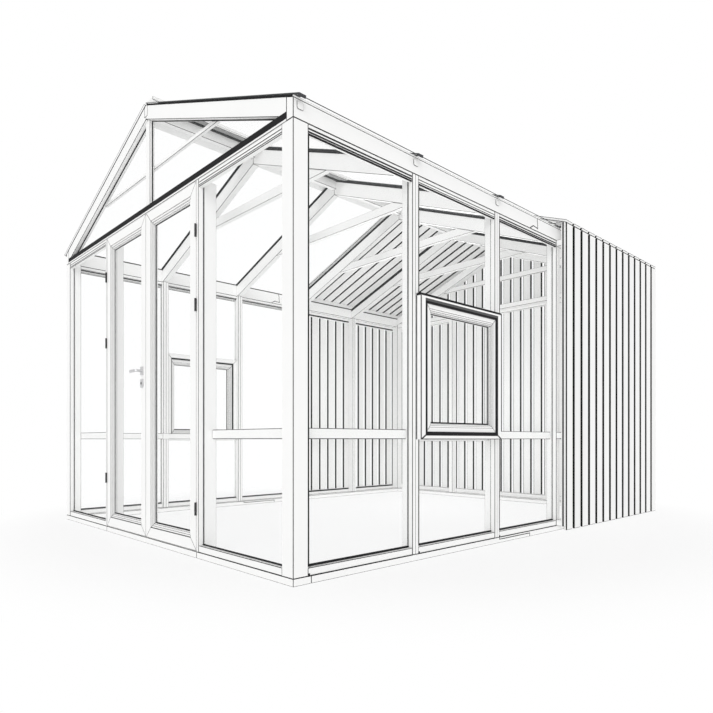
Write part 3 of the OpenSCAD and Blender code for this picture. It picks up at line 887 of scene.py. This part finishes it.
makeSurrounds()
print("windows made")

# painted shade: a dark line down the face of the tall edge trims, between two distances from their outer
# side
trimLine = {"span": (0.0095, 0.0215), "proud": 0.001, "tall": 1}


def makeTrimShadeLines():
    strips = []
    for low, high in solidBoxes("edge_trims"):
        if high[2] - low[2] > trimLine["tall"]:
            side, proud = wallSide(low), trimLine["proud"]
            outer = max(abs(low[0]), abs(high[0]))
            near, far = sorted(side * (outer - shift) for shift in trimLine["span"])
            strips.append(addStrip("trimShadeLines", (near, low[1] - proud, low[2]),
                                   (far, low[1] + proud, high[2])))
    finishPiece(joinPieces("trimShadeLines", strips), rubberAndShade, "seal_black", "building")


makeTrimShadeLines()

# cladding boards: softened edges in painted shade, more so on the inner side of the walls, and painted
# shade on the sides in the joints
cladding = {"edge": 0.0062, "inner": 0.0125, "end": 0.004, "first": 0.012, "within": 0.01,
            "long": 0.5, "short": (0.05, 0.2), "onFace": 0.001, "merge": 0.00005}


def makeBoards(nodeName, paint, axis, depth=None, innerSide=0):  # wall boards have a depth axis
    piece = dressedCopy(nodeName, camel(nodeName), finishes=(paint, jointShade))
    low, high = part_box(nodeName)
    shortest, longest = cladding["short"]

    def isLong(a, b):
        return (a - b).length > cladding["long"]

    def inside(place):  # not on the outermost side of the first or last board
        return low[axis] + cladding["within"] < place[axis] < high[axis] - cladding["within"]

    def onInner(place):
        return depth is not None and abs(place[depth] - (low, high)[innerSide][depth]) < cladding["onFace"]

    def isFirst(place):  # the outer edge of a side wall's first board, beside the glass
        outer = (low, high)[1 - innerSide][0]
        atFront = place[axis] < low[axis] + cladding["onFace"]
        return depth == 0 and atFront and abs(place[0] - outer) < cladding["onFace"]

    def isEnd(a, b):
        outermost = isLong(a, b) and not inside(a) and not isFirst(a)
        return outermost or shortest < (a - b).length < longest

    # each set of edges gets a bevel in the painted shade finish
    for width, wanted in ((cladding["edge"], lambda a, b: isLong(a, b) and inside(a) and not onInner(a)),
                          (cladding["inner"], lambda a, b: isLong(a, b) and inside(a) and onInner(a)),
                          (cladding["end"], isEnd),
                          (cladding["first"], lambda a, b: isLong(a, b) and isFirst(a) and isFirst(b))):
        pickEdges(piece, wanted)
        bevelPicked(width, finish=darkSlot)
    selectAll()
    bpy.ops.mesh.remove_doubles(threshold=cladding["merge"])
    # the board sides in the joints take the painted shade
    pickFaces(piece, lambda centre, normal: abs(normal[axis]) > squareOn and inside(centre))
    darken(piece)
    finishPiece(piece, paint, "board_white", "building", nodeName)


makeBoards("right_boards", sidePaint, 1, 0, 0)
makeBoards("left_boards", sidePaint, 1, 0, 1)
makeBoards("back_boards", backPaint, 0, 1, 0)
makeBoards("right_roof_boards", roofPaint, 1)
makeBoards("left_roof_boards", roofPaint, 1)
print("boards dressed")

# dark roof bars
roofBar = {"edge": 0.0012, "segments": 2}
bars = dressedCopy("roof_bars", "roofBars", roofBar["edge"], roofBar["segments"])
finishPiece(bars, darkBar, "bar_grey", "building", "roof_bars")

# trims, with rounded clips under the ends of the roof bars
trim = {"edge": 0.0008}
clip = {"round": 0.009, "segments": 5, "edge": 0.0018, "largest": 0.06, "slack": 0.0005}


def isClip(low, high):
    return all(high[a] - low[a] < clip["largest"] for a in (1, 2))


def makeTrims():
    clips = [box for box in solidBoxes("edge_trims") if isClip(*box)]
    trims = dressedCopy("edge_trims", "edgeTrims", finishes=lined)
    slack = clip["slack"]

    def onClip(centre, normal):
        return any(all(low[a] - slack < centre[a] < high[a] + slack for a in range(3))
                   for low, high in clips)

    pickFaces(trims, onClip)
    bpy.ops.mesh.delete(type="FACE")
    roundSharp(trim["edge"], finish=darkSlot)
    finishPiece(trims, powderWhite, "frame_white", "building", "edge_trims")
    made = []
    for low, high in clips:
        piece = addBlock("eavesClips", low, high)
        giveFinishes(piece, *lined)
        openEdit(piece)
        pickEdges(piece, lambda a, b: max(abs(a.z - low[2]), abs(b.z - low[2]), abs(a.y - b.y)) < tiny)
        bevelPicked(clip["round"], clip["segments"])
        roundSharp(clip["edge"], finish=darkSlot)
        made.append(piece)
    finishPiece(joinPieces("eavesClips", made), powderWhite, "frame_white", "building")


makeTrims()
print("bars and trims dressed")

# lift-off hinges
hinge = {"edge": 0.0005, "segments": 2}
for nodeName, body in (("frame_hinges", "building"), ("left_door_hinges", "left_door"),
                       ("right_door_hinges", "right_door")):
    leaves = dressedCopy(nodeName, camel(nodeName), hinge["edge"], hinge["segments"])
    finishPiece(leaves, hingeCoat, "hinge_black", body, nodeName, smooth=True)

# handle plates with rounded corners, and key cylinders in the lower ones
plate = {"round": 0.006, "corner": 6, "edge": 0.0012, "segments": 2, "thinnest": 0.001}
keyCylinder = {"radius": 0.0085, "sides": 24, "proud": 0.003, "rim": 0.005, "sink": 0.0015,
               "edge": 0.0005}


def makePlates():
    made = []
    for low, high in solidBoxes("handle_plates"):
        piece = addBlock("handlePlates", low, high)
        openEdit(piece)
        pickEdges(piece, lambda a, b: abs(a.y - b.y) > plate["thinnest"])
        bevelPicked(plate["round"], plate["corner"])
        roundSharp(plate["edge"], plate["segments"])
        made.append(piece)
    finishPiece(joinPieces("handlePlates", made), satinSteel, "handle_steel", "left_door", "handle_plates",
                smooth=True)


def makeKeyCylinders():
    made = []
    for low, high in solidBoxes("handle_plates"):
        if high[2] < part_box("lever")[0][2]:
            clearSelection()
            bpy.ops.mesh.primitive_cylinder_add(
                vertices=keyCylinder["sides"], radius=keyCylinder["radius"],
                depth=high[1] - low[1] + keyCylinder["proud"],
                location=[(a + b) / 2 for a, b in zip(low, high)], rotation=(math.pi / 2, 0, 0))
            piece = bpy.context.active_object
            bpy.ops.object.transform_apply(location=True, rotation=True, scale=True)
            openEdit(piece)
            pickFaces(piece, lambda place, normal: abs(normal.y) > squareOn)
            bpy.ops.mesh.inset(thickness=keyCylinder["rim"], use_individual=True)
            pushOut(-keyCylinder["sink"])
            roundSharp(keyCylinder["edge"])
            made.append(piece)
    finishPiece(joinPieces("keyCylinders", made), hingeCoat, "hinge_black", "left_door", smooth=True)


makePlates()
makeKeyCylinders()

# lever: a round neck, a bend, and a flattened grip, the same on both faces of the leaf
lever = {"neck": 0.008, "bend": 0.012, "steps": 6, "taper": 0.012, "tall": 0.0098, "thick": 0.0052,
         "sides": 20, "tip": 0.003, "tipSegments": 3}


def makeLever():
    low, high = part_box("lever")
    joint = next(entry for entry in frame["record"]["behaviour"]["joints"] if entry["child"] == "lever")
    axisX, axisZ = joint["pos_m"][0], joint["pos_m"][2]
    leafLow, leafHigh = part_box("left_door_frame")
    neck, bend, taper = lever["neck"], lever["bend"], lever["taper"]
    grips = []
    for side, face, end in ((-1, leafLow[1], low[1]), (1, leafHigh[1], high[1])):
        clearSelection()
        bpy.ops.mesh.primitive_circle_add(vertices=lever["sides"], radius=neck, fill_type="NGON",
                                          location=(axisX, face, axisZ), rotation=(math.pi / 2, 0, 0))
        grip = bpy.context.active_object
        bpy.ops.object.transform_apply(location=True, rotation=True, scale=True)
        openEdit(grip)
        middle = end - side * neck  # middle line of the grip
        selectAll()
        pullOut((0, middle - face - side * bend, 0))
        bpy.ops.mesh.spin(steps=lever["steps"], angle=math.pi / 2 * -side,
                          center=(axisX - bend, middle - side * bend, axisZ), axis=(0, 0, 1))
        pullOut((-taper, 0, 0))
        bpy.ops.transform.resize(value=(1, lever["thick"] / neck, lever["tall"] / neck),
                                 center_override=(axisX - bend - taper, middle, axisZ))
        pullOut((low[0] - axisX + bend + taper, 0, 0))
        bevelPicked(lever["tip"], lever["tipSegments"])
        selectAll()
        bpy.ops.mesh.remove_doubles(threshold=mergeGap)
        bpy.ops.mesh.normals_make_consistent(inside=False)
        grips.append(grip)
    finishPiece(joinPieces("leverGrips", grips), satinSteel, "handle_steel", "lever", "lever", smooth=True)


makeLever()
print("hinges and handle made")

# white background for the camera, for glossy and for clear surfaces, and softer light for the rest
studio = {"soft": 0.5, "floorSize": 120, "floor": (0.9, 0.9, 0.9), "glow": 0.8, "fade": (2.2, 3.3),
          "suns": [{"strength": 0.36, "tilt": 55, "turn": 42, "angle": 0.7, "shadow": True},
                   {"strength": 0.34, "tilt": 100, "turn": 45, "angle": 0.3, "shadow": False},
                   {"strength": 0.22, "tilt": 96, "turn": 225, "angle": 0.3, "shadow": False}],
          "sunHeight": 6, "inside": {"power": 13.5, "place": (0.0, 0.85, 1.15), "radius": 0.5}}


def makeWorld():
    world = bpy.data.worlds.new("studio")
    bpy.context.scene.world = world
    world.use_nodes = True
    world.node_tree.nodes.clear()
    start = Wire(world.node_tree)
    seen = start.add("ShaderNodeLightPath", out="Is Camera Ray")
    rays = seen.socket.node.outputs
    for kind in ("Is Glossy Ray", "Is Transmission Ray"):
        seen = seen + Wire(world.node_tree, rays[kind])
    seen = start.add("ShaderNodeClamp", None, {"Value": seen})
    soft = start.add("ShaderNodeBackground", None, {"Color": (1, 1, 1, 1), "Strength": studio["soft"]})
    white = start.add("ShaderNodeBackground", None, {"Color": (1, 1, 1, 1), "Strength": 1.0})
    mixed = start.add("ShaderNodeMixShader", None, {0: seen, 1: soft, 2: white})
    start.add("ShaderNodeOutputWorld", None, {"Surface": mixed})


def makeFloor():  # pale, and white some way off
    clearSelection()
    bpy.ops.mesh.primitive_plane_add(size=studio["floorSize"], location=(0, 0, 0))
    floor = bpy.context.active_object
    floor.name = "floor"
    material, start, place = newMaterial("floorPale")
    away = start.add("ShaderNodeVectorMath", {"operation": "LENGTH"}, {0: place}, out="Value")
    near, far = studio["fade"]
    fade = start.add("ShaderNodeMapRange", {"interpolation_type": "SMOOTHSTEP"},
                     {"Value": away, "From Min": near, "From Max": far, "To Min": studio["glow"]})
    dull = start.add("ShaderNodeBsdfDiffuse", None, {"Color": (*studio["floor"], 1.0)})
    glow = start.add("ShaderNodeEmission", None, {"Color": (1, 1, 1, 1), "Strength": 1.0})
    closeMaterial(start, start.add("ShaderNodeMixShader", None, {0: fade, 1: dull, 2: glow}))
    floor.data.materials.append(material)


def makeLamps():  # a key sun, two shadowless fills from low down, and a soft lamp in the store
    for sun in studio["suns"]:
        bpy.ops.object.light_add(type="SUN", location=(0, 0, studio["sunHeight"]),
                                 rotation=(math.radians(sun["tilt"]), 0, math.radians(sun["turn"])))
        lamp = bpy.context.active_object.data
        lamp.energy = sun["strength"] * math.pi
        lamp.angle = sun["angle"]
        lamp.use_shadow = sun["shadow"]
    bpy.ops.object.light_add(type="POINT", location=studio["inside"]["place"])
    lamp = bpy.context.active_object.data
    lamp.energy = studio["inside"]["power"]
    lamp.shadow_soft_size = studio["inside"]["radius"]
    lamp.use_shadow = False


makeWorld()
makeFloor()
makeLamps()

# level view towards the right front corner, with the lens shifted up
view = {"place": (3.6374, -3.6113, 0.6609), "heading": 46.63, "lens": 29.653, "sensor": 36, "rise": 0.116}
bpy.ops.object.camera_add(location=view["place"],
                          rotation=(math.radians(90), 0, math.radians(view["heading"])))
camera = bpy.context.active_object
camera.data.lens = view["lens"]
camera.data.sensor_width = view["sensor"]
camera.data.shift_y = view["rise"]
bpy.context.scene.camera = camera
bpy.context.scene.view_settings.view_transform = "Standard"
print("studio and camera set")
